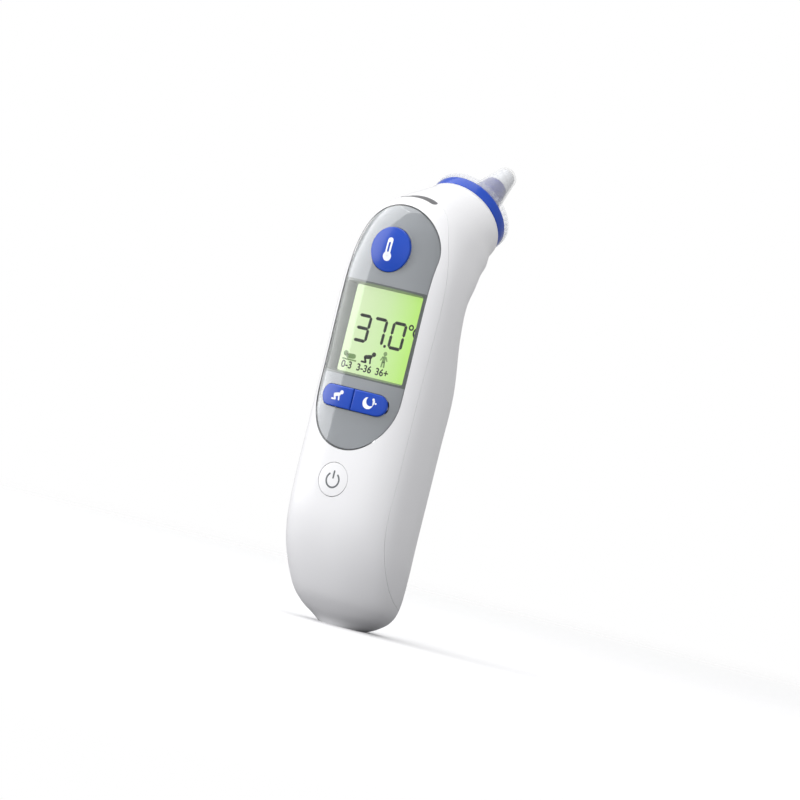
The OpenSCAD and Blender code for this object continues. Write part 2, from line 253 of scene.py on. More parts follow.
def lathe(name, profile, steps=128):
    # turns a profile of (radius, distance beyond the lip) about the probe axis
    bm = bmesh.new()
    verts = [bm.verts.new((r * mm, 0, w * mm)) for r, w in profile]
    edges = [bm.edges.new((verts[i], verts[(i + 1) % len(verts)])) for i in range(len(verts))
             if not (profile[i][0] == 0 and profile[(i + 1) % len(verts)][0] == 0)]
    bmesh.ops.spin(bm, geom=verts + edges, axis=(0, 0, 1), cent=(0, 0, 0), dvec=(0, 0, 0),
                   angle=2 * math.pi, steps=steps, use_merge=True)
    bmesh.ops.remove_doubles(bm, verts=bm.verts[:], dist=1e-6)
    bmesh.ops.recalc_face_normals(bm, faces=bm.faces[:])
    return linkMesh(name, bm)


headMatrix = (Matrix.Translation(toFrame(Vector((0, bodyShape["lipY"], bodyShape["lipZ"]))))
              @ Matrix.Rotation(-(math.pi / 2 - probeAngle), 4, "X"))


def toHead(piece):
    piece.data.transform(headMatrix)
    return piece


def arc(cx, cy, rx, ry, start, end, count):
    return [(cx + rx * math.cos(math.radians(start + (end - start) * i / count)),
             cy + ry * math.sin(math.radians(start + (end - start) * i / count))) for i in range(count + 1)]


def roundedCorners(x0, y0, x1, y1, r, count=6):
    return (arc(x1 - r, y1 - r, r, r, 0, 90, count) + arc(x0 + r, y1 - r, r, r, 90, 180, count)
            + arc(x0 + r, y0 + r, r, r, 180, 270, count) + arc(x1 - r, y0 + r, r, r, 270, 360, count))


def groupSocket(group, name, kind, direction, default=None):
    socket = group.interface.new_socket(name=name, in_out=direction, socket_type=kind)
    if default is not None:
        socket.default_value = default


def mouldedSkinGroup():
    # fine moulded skin: slight roughness drift, faint flow marks and a very fine orange peel
    group = bpy.data.node_groups.new("mouldedSkin", "ShaderNodeTree")
    groupSocket(group, "Color", "NodeSocketColor", "INPUT", (0.8, 0.8, 0.8, 1))
    groupSocket(group, "Roughness", "NodeSocketFloat", "INPUT", 0.25)
    groupSocket(group, "Spread", "NodeSocketFloat", "INPUT", 0.05)
    groupSocket(group, "Tint", "NodeSocketFloat", "INPUT", 0.03)
    groupSocket(group, "Grain", "NodeSocketFloat", "INPUT", 2500)
    groupSocket(group, "Color", "NodeSocketColor", "OUTPUT")
    groupSocket(group, "Roughness", "NodeSocketFloat", "OUTPUT")
    groupSocket(group, "Height", "NodeSocketFloat", "OUTPUT")
    nodes, links = group.nodes, group.links
    inputs = nodes.new("NodeGroupInput")
    outputs = nodes.new("NodeGroupOutput")
    coords = nodes.new("ShaderNodeTexCoord")
    drift = nodes.new("ShaderNodeTexNoise")
    drift.inputs["Scale"].default_value = 55
    drift.inputs["Detail"].default_value = 3
    peel = nodes.new("ShaderNodeTexNoise")
    peel.inputs["Detail"].default_value = 4
    links.new(coords.outputs["Object"], drift.inputs["Vector"])
    links.new(coords.outputs["Object"], peel.inputs["Vector"])
    links.new(inputs.outputs["Grain"], peel.inputs["Scale"])
    centred = nodes.new("ShaderNodeMath")
    centred.operation = "SUBTRACT"
    centred.inputs[1].default_value = 0.5
    links.new(drift.outputs["Fac"], centred.inputs[0])
    rough = nodes.new("ShaderNodeMath")
    rough.operation = "MULTIPLY_ADD"
    links.new(centred.outputs[0], rough.inputs[0])
    links.new(inputs.outputs["Spread"], rough.inputs[1])
    links.new(inputs.outputs["Roughness"], rough.inputs[2])
    links.new(rough.outputs[0], outputs.inputs["Roughness"])
    shade = nodes.new("ShaderNodeMath")
    shade.operation = "MULTIPLY_ADD"
    shade.inputs[2].default_value = 1
    links.new(centred.outputs[0], shade.inputs[0])
    links.new(inputs.outputs["Tint"], shade.inputs[1])
    tinted = nodes.new("ShaderNodeVectorMath")
    tinted.operation = "SCALE"
    links.new(inputs.outputs["Color"], tinted.inputs[0])
    links.new(shade.outputs[0], tinted.inputs["Scale"])
    links.new(tinted.outputs[0], outputs.inputs["Color"])
    links.new(peel.outputs["Fac"], outputs.inputs["Height"])
    return group


groups = {"skin": mouldedSkinGroup()}


def startMaterial(name):
    material = bpy.data.materials.new(name)
    material.use_nodes = True
    nodes = material.node_tree.nodes
    return material, nodes, material.node_tree.links, nodes["Principled BSDF"]


def plastic(name, color, roughness, coat=0.0, spread=0.06, tint=0.04, grain=2500, bump=0.04, subsurface=0.0,
            specular=0.5, metallic=0.0):
    material, nodes, links, shader = startMaterial(name)
    skin = nodes.new("ShaderNodeGroup")
    skin.node_tree = groups["skin"]
    skin.inputs["Color"].default_value = (*color, 1)
    skin.inputs["Roughness"].default_value = roughness
    skin.inputs["Spread"].default_value = spread
    skin.inputs["Tint"].default_value = tint
    skin.inputs["Grain"].default_value = grain
    bumpNode = nodes.new("ShaderNodeBump")
    bumpNode.inputs["Strength"].default_value = bump
    bumpNode.inputs["Distance"].default_value = 0.00005
    links.new(skin.outputs["Color"], shader.inputs["Base Color"])
    links.new(skin.outputs["Roughness"], shader.inputs["Roughness"])
    links.new(skin.outputs["Height"], bumpNode.inputs["Height"])
    links.new(bumpNode.outputs["Normal"], shader.inputs["Normal"])
    shader.inputs["Coat Weight"].default_value = coat
    shader.inputs["Coat Roughness"].default_value = 0.04
    shader.inputs["Specular IOR Level"].default_value = specular
    shader.inputs["Metallic"].default_value = metallic
    if subsurface:
        shader.inputs["Subsurface Weight"].default_value = subsurface
        shader.inputs["Subsurface Radius"].default_value = (1, 0.95, 0.9)
        shader.inputs["Subsurface Scale"].default_value = 0.0015
    return material


def clearPlastic(name, color, roughness, ior=1.49, shadow=0.9, frost=0.0):
    # clear moulding; light passes straight through it for shadows, as in a thin part
    material, nodes, links, shader = startMaterial(name)
    shader.inputs["Base Color"].default_value = (*color, 1)
    shader.inputs["Transmission Weight"].default_value = 1
    shader.inputs["IOR"].default_value = ior
    coords = nodes.new("ShaderNodeTexCoord")
    cloud = nodes.new("ShaderNodeTexNoise")
    cloud.inputs["Scale"].default_value = 420
    cloud.inputs["Detail"].default_value = 3
    links.new(coords.outputs["Object"], cloud.inputs["Vector"])
    rough = nodes.new("ShaderNodeMapRange")
    rough.inputs["To Min"].default_value = max(roughness - frost, 0)
    rough.inputs["To Max"].default_value = roughness + frost
    links.new(cloud.outputs["Fac"], rough.inputs["Value"])
    links.new(rough.outputs["Result"], shader.inputs["Roughness"])
    clear = nodes.new("ShaderNodeBsdfTransparent")
    clear.inputs["Color"].default_value = (shadow, shadow, shadow, 1)
    path = nodes.new("ShaderNodeLightPath")
    mix = nodes.new("ShaderNodeMixShader")
    links.new(path.outputs["Is Shadow Ray"], mix.inputs[0])
    links.new(shader.outputs[0], mix.inputs[1])
    links.new(clear.outputs[0], mix.inputs[2])
    links.new(mix.outputs[0], nodes["Material Output"].inputs["Surface"])
    return material


finishes = {
    "shellWhite": {"color": (0.80, 0.80, 0.815), "roughness": 0.3, "coat": 0.25, "tint": 0.015},
    "buttonBlue": {"color": (0.002, 0.052, 0.42), "roughness": 0.26, "coat": 0.25, "tint": 0.06},
    "collarBlue": {"color": (0.02, 0.03, 0.22), "roughness": 0.3, "coat": 0.3, "tint": 0.06},
    "frameSilver": {"color": (0.345, 0.36, 0.38), "roughness": 0.34, "coat": 0.0, "tint": 0.03},
    # dark grey used as painted shade for the gap round the lens
    "lensGapShade": {"color": (0.09, 0.095, 0.1), "roughness": 0.4, "tint": 0.1},
    "slotGrey": {"color": (0.10, 0.10, 0.105), "roughness": 0.35, "coat": 0.3, "tint": 0.1},
    "probeWhite": {"color": (0.62, 0.63, 0.65), "roughness": 0.35, "coat": 0.1, "tint": 0.03},
    "markWhite": {"color": (0.85, 0.87, 0.9), "roughness": 0.4, "tint": 0.02},
    # dark grey used as painted shade on the hidden seam tongue, and as the printed power sign
    "seamShadeAndPrintGrey": {"color": (0.12, 0.13, 0.14), "roughness": 0.45, "tint": 0.05},
    "segmentBlack": {"color": (0.008, 0.012, 0.008), "roughness": 0.5, "tint": 0.05},
    "segmentFaint": {"color": (0.22, 0.36, 0.13), "roughness": 0.5, "tint": 0.05},
    "darkMatt": {"color": (0.035, 0.035, 0.038), "roughness": 0.55, "tint": 0.2},
    "boardGreen": {"color": (0.01, 0.12, 0.045), "roughness": 0.35, "tint": 0.3},
    "trayBlack": {"color": (0.05, 0.05, 0.055), "roughness": 0.6, "tint": 0.2, "grain": 1400, "bump": 0.2},
    "guideMilk": {"color": (0.8, 0.83, 0.78), "roughness": 0.5, "tint": 0.05},
    "flexAmber": {"color": (0.5, 0.17, 0.02), "roughness": 0.4, "tint": 0.2},
    "steelBright": {"color": (0.62, 0.62, 0.62), "roughness": 0.28, "metallic": 1.0, "tint": 0.2},
    "goldTube": {"color": (0.9, 0.62, 0.22), "roughness": 0.2, "metallic": 1.0, "tint": 0.1},
}
finish = {name: plastic(name, **values) for name, values in finishes.items()}
finish["lensClear"] = clearPlastic("lensClear", (0.97, 0.98, 0.985), 0.02)


def milkyFilm(name, color, through, edge, roughness):
    # thin milky moulding: seen through where it faces the eye, denser along its edges
    material, nodes, links, shader = startMaterial(name)
    coords = nodes.new("ShaderNodeTexCoord")
    cloud = nodes.new("ShaderNodeTexNoise")
    cloud.inputs["Scale"].default_value = 260
    cloud.inputs["Detail"].default_value = 4
    links.new(coords.outputs["Object"], cloud.inputs["Vector"])
    layer = nodes.new("ShaderNodeLayerWeight")
    layer.inputs["Blend"].default_value = 0.35
    dense = nodes.new("ShaderNodeMapRange")
    dense.inputs["To Min"].default_value = through
    dense.inputs["To Max"].default_value = edge
    links.new(layer.outputs["Facing"], dense.inputs["Value"])
    drift = nodes.new("ShaderNodeMath")
    drift.operation = "MULTIPLY_ADD"
    drift.inputs[1].default_value = 0.12
    drift.inputs[2].default_value = -0.06
    links.new(cloud.outputs["Fac"], drift.inputs[0])
    total = nodes.new("ShaderNodeMath")
    total.operation = "ADD"
    total.use_clamp = True
    links.new(dense.outputs["Result"], total.inputs[0])
    links.new(drift.outputs[0], total.inputs[1])
    links.new(total.outputs[0], shader.inputs["Alpha"])
    rough = nodes.new("ShaderNodeMapRange")
    rough.inputs["To Min"].default_value = roughness - 0.06
    rough.inputs["To Max"].default_value = roughness + 0.06
    links.new(cloud.outputs["Fac"], rough.inputs["Value"])
    links.new(rough.outputs["Result"], shader.inputs["Roughness"])
    shader.inputs["Base Color"].default_value = (*color, 1)
    return material


finish["filterClear"] = milkyFilm("filterClear", (0.82, 0.83, 0.85), 0.03, 0.42, 0.2)


def displayGlow():
    # lit panel: paler at the left, stronger green to the right, with a faint mottling
    material, nodes, links, shader = startMaterial("displayGlow")
    low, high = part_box("lcd_panel")
    coords = nodes.new("ShaderNodeTexCoord")
    split = nodes.new("ShaderNodeSeparateXYZ")
    links.new(coords.outputs["Object"], split.inputs[0])
    across = nodes.new("ShaderNodeMapRange")
    across.inputs["From Min"].default_value = low.x * 0.9
    across.inputs["From Max"].default_value = high.x * 0.95
    links.new(split.outputs["X"], across.inputs["Value"])
    ramp = nodes.new("ShaderNodeValToRGB")
    ramp.color_ramp.elements[0].color = (0.80, 0.93, 0.60, 1)
    ramp.color_ramp.elements[1].color = (0.49, 0.89, 0.10, 1)
    middle = ramp.color_ramp.elements.new(0.5)
    middle.color = (0.66, 0.89, 0.42, 1)
    links.new(across.outputs["Result"], ramp.inputs["Fac"])
    cloud = nodes.new("ShaderNodeTexNoise")
    cloud.inputs["Scale"].default_value = 90
    links.new(coords.outputs["Object"], cloud.inputs["Vector"])
    soft = nodes.new("ShaderNodeMapRange")
    soft.inputs["To Min"].default_value = 0.97
    soft.inputs["To Max"].default_value = 1.03
    links.new(cloud.outputs["Fac"], soft.inputs["Value"])
    scaled = nodes.new("ShaderNodeVectorMath")
    scaled.operation = "SCALE"
    links.new(ramp.outputs["Color"], scaled.inputs[0])
    links.new(soft.outputs["Result"], scaled.inputs["Scale"])
    links.new(scaled.outputs[0], shader.inputs["Emission Color"])
    shader.inputs["Emission Strength"].default_value = 0.85
    shader.inputs["Base Color"].default_value = (0.1, 0.14, 0.08, 1)
    shader.inputs["Roughness"].default_value = 0.45
    return material


finish["displayGlow"] = displayGlow()


def paintWellShade():
    # painted shade: the window walls are painted a darker grey-green than the frame's face, standing in for
    # the shade down in the well
    tree = finish["frameSilver"].node_tree
    nodes, links = tree.nodes, tree.links
    coords = nodes.new("ShaderNodeTexCoord")
    split = nodes.new("ShaderNodeSeparateXYZ")
    links.new(coords.outputs["Object"], split.inputs[0])
    low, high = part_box("lcd_panel")
    masks = []
    spans = (("X", 0, high.x + 0.7 * mm), ("Z", (low.z + high.z) / 2, (high.z - low.z) / 2))
    for axis, centre, reach in spans:
        away = nodes.new("ShaderNodeMath")
        away.operation = "COMPARE"
        away.inputs[1].default_value = centre
        away.inputs[2].default_value = reach
        links.new(split.outputs[axis], away.inputs[0])
        masks.append(away)
    wellShadeMask = nodes.new("ShaderNodeMath")
    wellShadeMask.operation = "MULTIPLY"
    links.new(masks[0].outputs[0], wellShadeMask.inputs[0])
    links.new(masks[1].outputs[0], wellShadeMask.inputs[1])
    # painted shade: darker grey-green laid on the walls inside the well
    tone = nodes.new("ShaderNodeMix")
    tone.data_type = "RGBA"
    tone.inputs["B"].default_value = (0.13, 0.145, 0.14, 1)
    shader = nodes["Principled BSDF"]
    plain = shader.inputs["Base Color"].links[0].from_socket
    links.new(plain, tone.inputs["A"])
    links.new(wellShadeMask.outputs[0], tone.inputs["Factor"])
    links.new(tone.outputs["Result"], shader.inputs["Base Color"])


paintWellShade()
print("materials ready")


shellCuts = {
    "seamY": 7.4,
    "seamLow": 38,
    "seamBottom": 8.5,
    "seamGap": 0.1,
    "doorHalf": 16.5,
    "doorLow": 12.5,
    "doorHigh": 77,
    "doorCorner": 3,
    "doorGap": 0.14,
    "slotHalf": 6.65,
    "slotHeight": 2.6,
    "slotY": 9.6,
    "slotZ": 135.7,
    "slotTilt": 13,
}


def seamOutline(grow):
    # side view of everything in front of the seam between the shells
    s, d = shellCuts, bodyShape["depth"]
    y = s["seamY"] + grow
    outline = [(-8, 139.2), (12.2 + grow, 139.2), (10 + grow, 134.5), (8.4 + grow, 129.5), (y, 124)]
    for i in range(25):
        a = math.radians(90 * i / 24)
        outline.append((d - (d - y) * math.cos(a),
                        s["seamLow"] + grow - (s["seamLow"] - s["seamBottom"]) * math.sin(a)))
    return outline + [(d + 6, s["seamBottom"] + grow), (d + 6, -6), (-8, -6)]


lensShape = {"half": 15.4, "low": 54, "high": 132.2, "topRise": 15.6, "lowRise": 18.4, "gap": 0.16}


def lensOutline(grow, count=40):
    s = lensShape
    half = s["half"] + grow
    top = arc(0, s["high"] - s["topRise"], half, s["topRise"] + grow, 0, 180, count)
    low = [(signedPower(x / half, 0.94) * half, z)
           for x, z in arc(0, s["low"] + s["lowRise"], half, s["lowRise"] + grow, 180, 360, count)]
    return top + low


def slotTool(name, grow):
    # slot across the brow of the head, on the seam
    s = shellCuts
    bm = bmesh.new()
    r = s["slotHeight"] / 2 + grow
    reach = s["slotHalf"] - s["slotHeight"] / 2
    outline = arc(reach, 0, r, r, -90, 90, 12) + arc(-reach, 0, r, r, 90, 270, 12)
    pushFaces(bm, outlineFace(bm, [Vector((x * mm, y * mm, 0)) for x, y in outline]), (0, 0, 7 * mm))
    bmesh.ops.recalc_face_normals(bm, faces=bm.faces[:])
    tool = linkMesh(name, bm)
    tool.data.transform(Matrix.Translation(toFrame(Vector((0, s["slotY"], s["slotZ"]))))
                        @ Matrix.Rotation(math.radians(-s["slotTilt"]), 4, "X")
                        @ Matrix.Translation((0, 0, -4.2 * mm)))
    return tool


def doorTool(name, grow):
    s, d = shellCuts, bodyShape["depth"]
    outline = roundedCorners(-s["doorHalf"] - grow, s["doorLow"] - grow, s["doorHalf"] + grow,
                             s["doorHigh"] + grow, s["doorCorner"] + grow)
    return prismY(name, outline, d * 0.62, d + 5)


def makeShells():
    outer = skinSolid("bodyOuter", 0, 0)
    inner = skinSolid("bodyInner", bodyShape["wall"], 2)
    hollow = combine(copyOf(outer, "hollow"), inner, "DIFFERENCE")
    bore = toHead(lathe("bore", [(0, -3), (12, -3), (12, 2), (0, 2)], 96))
    slot = slotTool("slotHole", 0.08)
    hollow = combine(combine(hollow, bore, "DIFFERENCE"), slot, "DIFFERENCE")

    seam = prismX("seamFront", seamOutline(0), 30)
    lensHole = prismY("lensHole", lensOutline(lensShape["gap"]), -5, 12)
    front = combine(copyOf(hollow, "frontShell"), seam, "INTERSECT")
    front = combine(front, lensHole, "DIFFERENCE")
    power = roundOutline("power_button", 0.14)
    powerHole = prismY("powerHole", power, -5, 8)
    front = combine(front, powerHole, "DIFFERENCE")

    seamWide = prismX("seamWide", seamOutline(shellCuts["seamGap"]), 30)
    doorHole = doorTool("doorHole", shellCuts["doorGap"])
    rear = combine(copyOf(hollow, "rearShell"), seamWide, "DIFFERENCE")
    rear = combine(rear, doorHole, "DIFFERENCE")

    doorShape = doorTool("doorShape", 0)
    door = combine(copyOf(hollow, "batteryDoor"), doorShape, "INTERSECT")
    for i in range(5):
        rib = prismX("rib", roundedCorners(bodyShape["depth"] - 0.35, 63.6 + 2 * i,
                                           bodyShape["depth"] + 0.35, 64.3 + 2 * i, 0.34, 4), 5)
        door = combine(door, rib, "DIFFERENCE")
        discard(rib)
    # hidden tongue inside the walls that closes the seam to light; it is coloured dark grey as painted shade,
    # so the seam shows as a dark line
    tongue = skinSolid("seamTongue", 0.9, 1)
    within = skinSolid("within", 1.3, 2)
    ahead = prismX("ahead", seamOutline(0.8), 30)
    behind = prismX("behind", seamOutline(-0.6), 31)
    tongue = combine(combine(tongue, within, "DIFFERENCE"), ahead, "INTERSECT")
    tongue = combine(tongue, behind, "DIFFERENCE")
    tongue = combine(combine(tongue, slot, "DIFFERENCE"), bore, "DIFFERENCE")
    finishPiece(tongue, "housing", finish["seamShadeAndPrintGrey"])
    discard(within, ahead, behind)
    finishPiece(front, "housing", finish["shellWhite"], ["front_shell"])
    finishPiece(rear, "housing", finish["shellWhite"], ["rear_shell"])
    finishPiece(door, "door", finish["shellWhite"], ["battery_door"])
    discard(inner, hollow, bore, slot, seam, lensHole, powerHole, seamWide, doorHole, doorShape)
    print("shells ready")
    return outer


def nodeCentre(node):
    low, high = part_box(node)
    return (low + high) / 2


def roundOutline(node, grow, count=64):
    # circle of a round button in face coordinates, from its CAD cap
    radius = {"power_button": 5.3, "start_button": 7.1}[node] + grow
    z = nodeCentre(node).z / mm
    return arc(0, z, radius, radius, 0, 360 * (count - 1) / count, count - 1)


windowShape = {"half": 14.7, "low": 77.1, "high": 105.9, "corner": 0.7, "flare": 1.9, "floor": 12.4,
               "lensThick": 0.6,
               "frameTop": 0.68, "frameThick": 0.9, "gapShadeBand": 0.42}


def pillOutline(grow):
    low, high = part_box("age_button")
    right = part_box("night_button")[1]
    halfH = (high.z - low.z) / 2 / mm
    z = (low.z + high.z) / 2 / mm
    reach = right.x / mm - halfH
    return (arc(reach, z, halfH + grow, halfH + grow, -90, 90, 24)
            + arc(-reach, z, halfH + grow, halfH + grow, 90, 270, 24))


def taperedWell(name):
    # window hole: full size at the face, smaller at the display
    w = windowShape
    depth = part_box("lcd_panel")[0].y / mm + bodyShape["footBack"]
    bm = bmesh.new()
    face = outlineFace(bm, [toFrame(Vector((x, -1, z))) for x, z in roundedCorners(
        -w["half"] - w["flare"], w["low"] - 0.25, w["half"] + w["flare"], w["high"] + 0.25, w["corner"])])
    ends = pushFaces(bm, face, (0, (depth + 1.01) * mm, 0))
    centre = toFrame(Vector((0, depth, (w["low"] + w["high"]) / 2)))
    shrinkX = w["floor"] / (w["half"] + w["flare"])
    shrinkZ = 1 - 0.9 / ((w["high"] - w["low"]) / 2)
    bmesh.ops.scale(bm, verts=ends, vec=(shrinkX, 1, shrinkZ), space=Matrix.Translation(-centre))
    bmesh.ops.recalc_face_normals(bm, faces=bm.faces[:])
    return linkMesh(name, bm)


def makeFace(outer):
    w = windowShape
    under = skinSolid("underLens", w["lensThick"], 0)
    lensPrism = prismY("lensPrism", lensOutline(0), -5, 12)
    pillHole = prismY("pillHole", pillOutline(0.14), -5, 12)
    startHole = prismY("startHole", roundOutline("start_button", 0.14), -5, 12)
    lens = combine(copyOf(outer, "displayLens"), lensPrism, "INTERSECT")
    for tool in (under, pillHole, startHole):
        lens = combine(lens, tool, "DIFFERENCE")
    finishPiece(lens, "housing", finish["lensClear"], ["display_lens"])

    top = skinSolid("frameTop", w["frameTop"], 0)
    back = skinSolid("frameBack", w["frameTop"] + w["frameThick"], 0)
    framePrism = prismY("framePrism", lensOutline(-0.02), -5, 9)
    wellBlock = prismY("wellBlock", roundedCorners(-w["half"] - 1, w["low"] - 1, w["half"] + 1,
                                                   w["high"] + 1, 1), -3, 6.45)
    back = combine(back, wellBlock, "DIFFERENCE")
    deep = prismY("deep", roundedCorners(-25, 20, 25, 150, 1), 6.42, 60)
    well = taperedWell("well")
    silver = combine(copyOf(top, "displayFrame"), framePrism, "INTERSECT")
    for tool in (back, deep, well, pillHole, startHole):
        silver = combine(silver, tool, "DIFFERENCE")
    finishPiece(silver, "housing", finish["frameSilver"], ["display_bezel"])
    # painted shade: a dark ring just under the lens rim, standing in for the shadow in the gap round the lens
    above = skinSolid("gapShadeTop", w["lensThick"] + 0.01, 0)
    below = skinSolid("gapShadeBack", w["lensThick"] + 0.05, 0)
    rimOut = prismY("rimOut", lensOutline(0.02), -5, 8.5)
    rimIn = prismY("rimIn", lensOutline(-w["gapShadeBand"]), -6, 13)
    gapShadeBand = combine(above, rimOut, "INTERSECT")
    gapShadeBand = combine(combine(gapShadeBand, below, "DIFFERENCE"), rimIn, "DIFFERENCE")
    gapShadeBand.name = "lensGapShadeRing"
    finishPiece(gapShadeBand, "housing", finish["lensGapShade"])
    discard(below, rimOut, rimIn)
    discard(under, lensPrism, pillHole, startHole, top, back, framePrism, wellBlock, deep, well)
    print("face ready")


bodySurface = makeShells()
makeFace(bodySurface)


def faceSag(x):
    # how far the face falls back from its crown at x, near the buttons
    power = 2.8
    share = 0.43 * bodyShape["depth"]
    return share * (1 - (1 - min(abs(x) / bodyShape["half"], 0.999) ** power) ** (1 / power))


def bentButton(name, outline, rise, depth, bevel):
    # flat button of the given outline, rounded along its rim and bent to the face
    bm = bmesh.new()
    face = outlineFace(bm, [toFrame(Vector((x, depth, z))) for x, z in outline])
    front = pushFaces(bm, face, (0, -(depth + rise) * mm, 0))
    bmesh.ops.recalc_face_normals(bm, faces=bm.faces[:])
    rim = [e for e in bm.edges if all(v in front for v in e.verts)]
    bmesh.ops.bevel(bm, geom=rim, offset=bevel * mm, offset_type="OFFSET", segments=5, profile=0.5,
                    affect="EDGES", material=-1, clamp_overlap=True)
    low = min(v.co.x for v in bm.verts)
    high = max(v.co.x for v in bm.verts)
    x = math.ceil(low / mm + 0.01) * mm
    while x < high:
        bmesh.ops.bisect_plane(bm, geom=bm.verts[:] + bm.edges[:] + bm.faces[:], dist=1e-7,
                               plane_co=(x, 0, 0), plane_no=(1, 0, 0))
        x += 0.8 * mm
    for vert in bm.verts:
        vert.co.y += faceSag(vert.co.x / mm) * mm
    return linkMesh(name, bm)


buttonShape = {"pillRise": 0.45, "pillBevel": 0.45, "powerRise": -0.02, "powerBevel": 0.14, "startDome": 26,
               "startEdge": 0.35, "backDepth": 4.4}


def makeButtons():
    b = buttonShape
    pill = pillOutline(0)
    for name, node, body, side in (("ageButton", "age_button", "age_key", -1),
                                   ("nightButton", "night_button", "night_key", 1)):
        half = [(x, z) for x, z in pill if side * x > 0.09]
        z0, z1 = min(z for x, z in half), max(z for x, z in half)
        edge = side * 0.09
        half += [(edge, z1), (edge, z0)] if side > 0 else [(edge, z0), (edge, z1)]
        button = bentButton(name, half, b["pillRise"], b["backDepth"], b["pillBevel"])
        finishPiece(button, body, finish["buttonBlue"], [node], 40)
    power = bentButton("powerButton", roundOutline("power_button", 0), b["powerRise"], 2.5, b["powerBevel"])
    finishPiece(power, "power_key", finish["shellWhite"], ["power_button"], 40)

    # start button: a turned dome with a rounded rim
    radius, dome, edge = 7.1, b["startDome"], b["startEdge"]
    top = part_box("start_button")[0].y / mm
    profile = [(0, 0)]
    rimR = radius - edge
    for i in range(1, 13):
        r = rimR * i / 12
        profile.append((r, dome - math.sqrt(dome * dome - r * r)))
    rimDrop = profile[-1][1]
    for i in range(1, 6):
        a = math.radians(90 * i / 5)
        profile.append((rimR + edge * math.sin(a), rimDrop + edge * (1 - math.cos(a))))
    profile += [(radius, 5.2), (0, 5.2)]
    button = lathe("startButton", profile, 96)
    z = nodeCentre("start_button").z
    button.data.transform(Matrix.Translation((0, top * mm, z)) @ Matrix.Rotation(math.radians(-90), 4, "X"))
    finishPiece(button, "start_key", finish["buttonBlue"], ["start_button"], 40)
    print("buttons ready")


makeButtons()

# status light in its slot
slotShape = slotTool("slotShape", 0)
light = combine(skinSolid("statusLight", 0.4, 0), slotShape, "INTERSECT")
finishPiece(light, "housing", finish["slotGrey"], ["status_light"])
discard(slotShape, bodySurface)


probeShape = {"ringR": 13.6, "flangeR": 13.9, "tipR": 3.6, "tipW": 26.8, "flangeLow": 2.75, "rimHeight": 1.6,
              "plate": 0.4, "posts": 44}


def makeProbe():
    p = probeShape
    r = p["ringR"]
    ring = [(8.2, 1.4), (9.5, 1.4), (9.5, -5.7), (7.5, -5.7), (7.5, -6.5), (10.2, -6.5), (10.2, 0.6),
            (11.5, 0.6), (11.5, -1.2), (r - 0.6, -1.2), (r - 0.3, -0.9), (r - 0.05, 0.2)]
    ring += arc(r - 0.5, 2.1, 0.5, 0.5, 0, 90, 5) + [(8.3, 2.6), (8.2, 2.5)]
    finishPiece(toHead(lathe("ejectorRing", ring)), "ejector", finish["buttonBlue"],
                ["ejector_ring"])
    collar = [(6.35, 0.25), (7.8, 0.25), (7.8, 2.2), (7.6, 2.4), (6.25, 3.4), (5.15, 11), (3.97, 18.08),
              (3.87, 18.2), (3.5, 18.2), (4.7, 11), (5.85, 3.2), (6.35, 2.2)]
    finishPiece(toHead(lathe("probeCollar", collar)), "housing", finish["collarBlue"],
                ["probe_collar"])
    nozzle = [(3.6, 0.3), (6.3, 0.3), (6.3, 2.1), (5.75, 3.2), (4.6, 11), (3.4, 18.2), (3.4, 18.35),
              (3.72, 18.35), (3.8, 18.45), (2.93, 24.2), (2.82, 24.8), (2.5, 25.25), (2.3, 25.3),
              (2.15, 25.2), (2.15, 24), (2.7, 16), (3.6, 8)]
    finishPiece(toHead(lathe("probeNozzle", nozzle, 96)), "housing", finish["probeWhite"],
                ["probe_nozzle"])

    low, plate, rim = p["flangeLow"], p["plate"], p["rimHeight"]
    tipR, tipW, flangeR = p["tipR"], p["tipW"], p["flangeR"]
    cap = [(8, low), (flangeR - 0.12, low), (flangeR, low + 0.12), (flangeR, low + plate), (8.9, low + plate),
           (8, low + 0.8), (7.3, low + 1.5), (7.05, low + 2.1), (tipR, tipW - 3.2)]
    cap += arc(tipR - 2.3, tipW - 3.0, 2.3, 2.85, 5, 80, 9)
    cap += [(0, tipW - 0.1), (0, tipW - 0.3), (tipR - 2.0, tipW - 0.4), (tipR - 0.95, tipW - 1.5),
            (tipR - 0.4, tipW - 3.3), (6.65, low + 1.8), (7.3, low + 0.7)]
    cap = toHead(lathe("lensFilter", cap, 128))
    finishPiece(cap, "filter", finish["filterClear"], ["lens_filter"])

    # rim of the flange: a second hoop carried on small posts
    hoop = lathe("filterRim", [(12.95, low + rim - plate), (flangeR, low + rim - plate),
                               (flangeR, low + rim - 0.1), (flangeR - 0.1, low + rim),
                               (12.95, low + rim)], 128)
    bm = bmesh.new()
    bm.from_mesh(hoop.data)
    post = bmesh.ops.create_cube(bm, size=1)["verts"]
    bmesh.ops.scale(bm, verts=post, vec=(0.7 * mm, 0.75 * mm, (rim - 2 * plate + 0.04) * mm))
    bmesh.ops.translate(bm, verts=post, vec=(13.42 * mm, 0, (low + rim / 2) * mm))
    geom = post + list({e for v in post for e in v.link_edges})
    geom += list({f for v in post for f in v.link_faces})
    step = 2 * math.pi / p["posts"]
    for i in range(1, p["posts"]):
        copy = bmesh.ops.duplicate(bm, geom=geom)["geom"]
        bmesh.ops.rotate(bm, verts=[g for g in copy if isinstance(g, bmesh.types.BMVert)], cent=(0, 0, 0),
                         matrix=Matrix.Rotation(step * i, 3, "Z"))
    bm.to_mesh(hoop.data)
    bm.free()
    finishPiece(toHead(hoop), "filter", finish["filterClear"])
    print("probe ready")


makeProbe()


